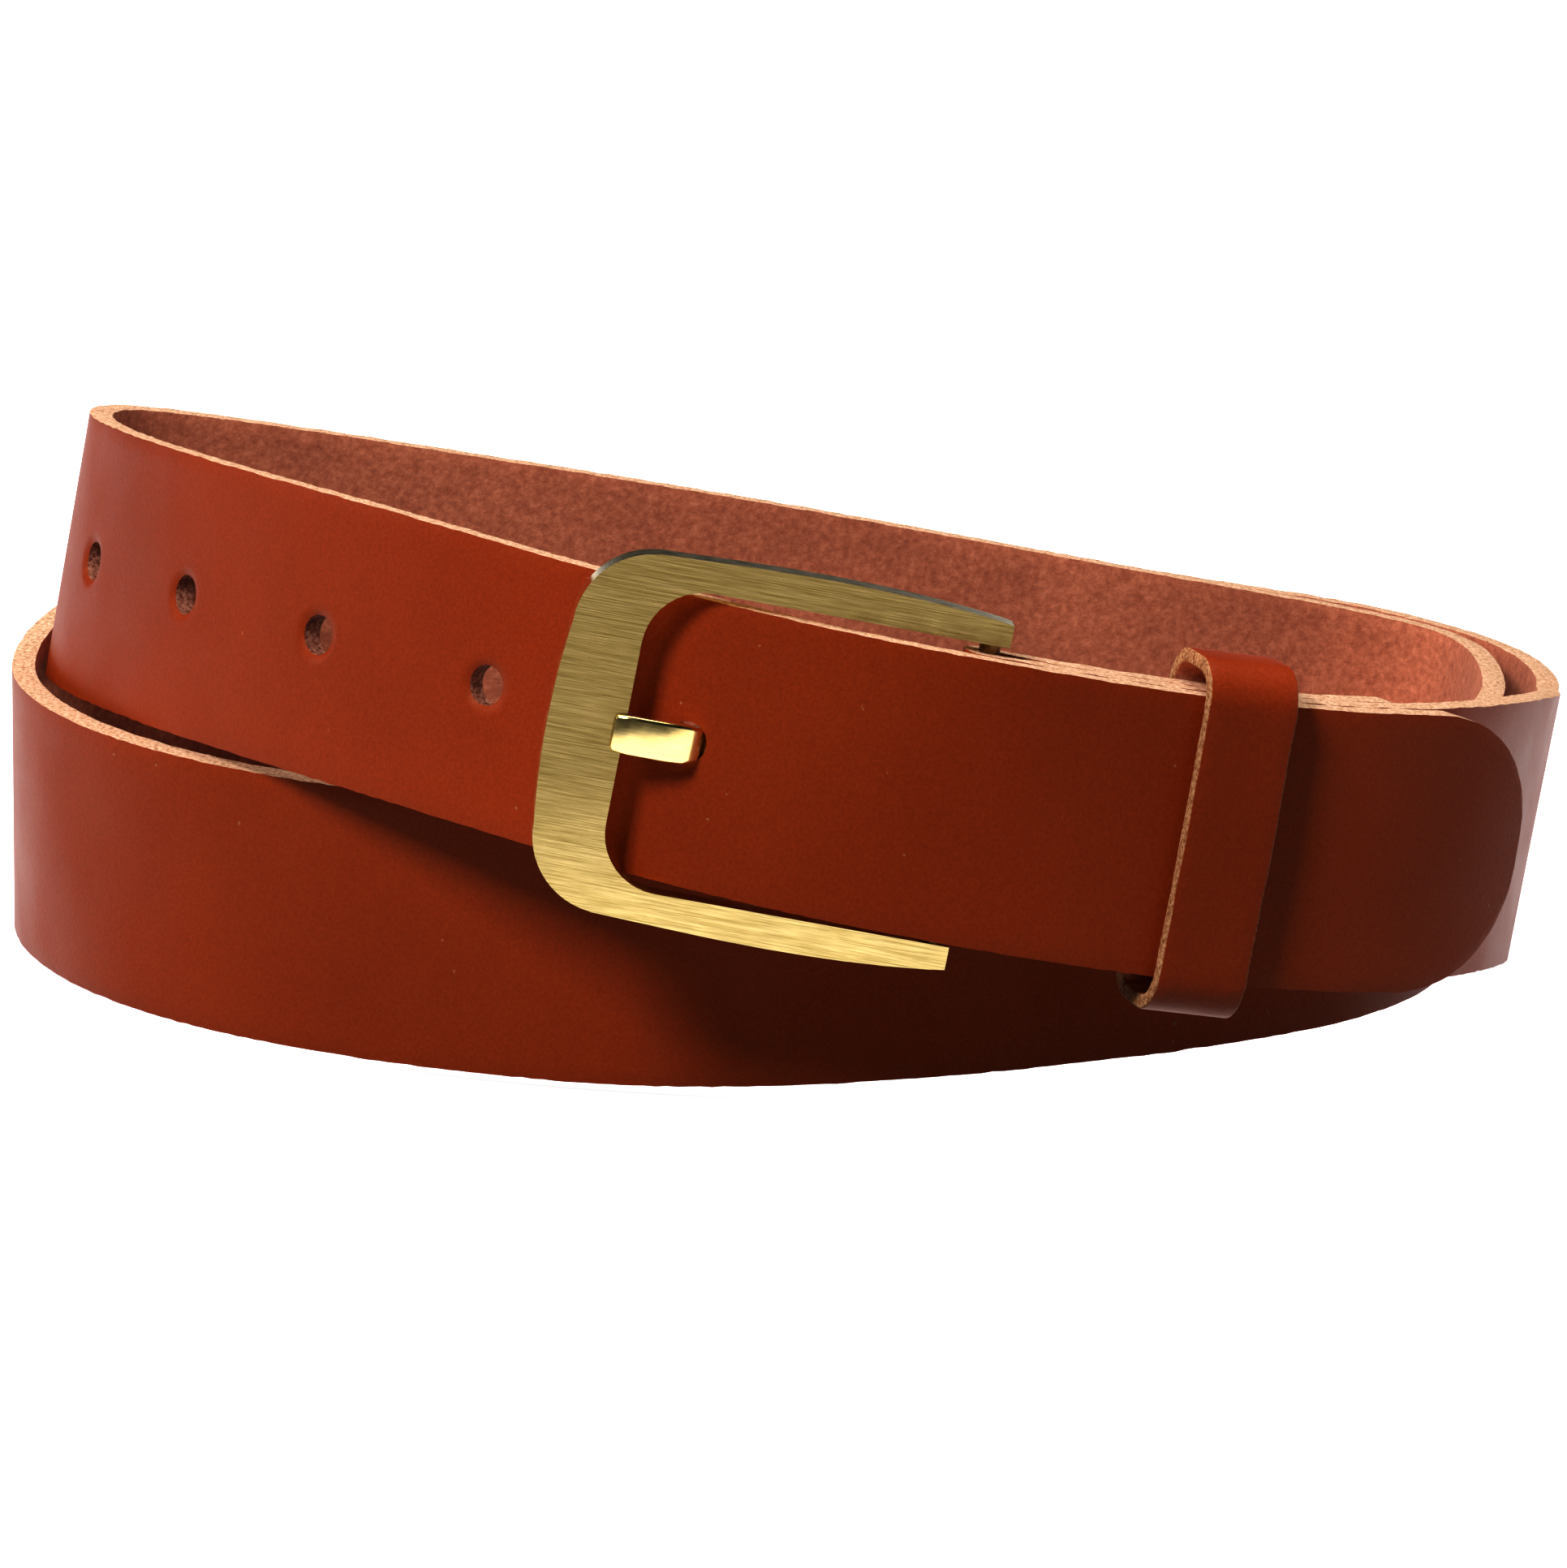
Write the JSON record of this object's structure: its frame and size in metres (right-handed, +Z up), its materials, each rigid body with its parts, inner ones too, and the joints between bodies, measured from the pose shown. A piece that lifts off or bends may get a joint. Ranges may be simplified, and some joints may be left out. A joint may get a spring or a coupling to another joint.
{
  "type": "waist belt",
  "caption": "Cognac leather waist belt coiled twice round and buckled, with a U-shaped brushed brass pin buckle and a leather keeper.",
  "frame": {"origin": "centre of the coil's box at the plane it stands on", "axes": "+Z up, +X along the coil to the end where the tip lies, -Y is the side with the buckle"},
  "size_m": [0.2021, 0.1418, 0.0749],
  "materials": {
    "leather": "satin",
    "brass": "brushed",
    "steel": "satin"
  },
  "bodies": {
    "strap": {"strap_tip_run": "leather", "strap_near_holes": "leather", "strap_far_holes": "leather", "strap_upper_turn": "leather", "strap_lower_turn": "leather", "strap_outer_turn": "leather", "strap_buckle_end": "leather", "strap_fold": "leather", "rivet_barrels": "brass", "rivet_screws": "brass"},
    "buckle": {"buckle_frame": "brass", "heel_bar": "steel"},
    "tongue": {"tongue": "brass"},
    "keeper": {"keeper_loop": "leather", "keeper_staple": "steel"}
  },
  "joints": [
    {"name": "buckle_pivot", "type": "hinge", "parent": "strap", "child": "buckle", "pos_m": [0.0217, -0.06267, 0.04511], "axis": [0.1793, 0.0969, 0.979], "range_deg": [0, 1]},
    {"name": "tongue_pivot", "type": "hinge", "parent": "buckle", "child": "tongue", "pos_m": [0.0217, -0.06267, 0.04511], "axis": [0.1793, 0.0969, 0.979], "range_deg": [0, 1]},
    {"name": "keeper_slide", "type": "slide", "parent": "strap", "child": "keeper", "axis": [-0.9413, -0.2835, 0.1832], "range_m": [-0.005, 0.0035]}
  ]
}
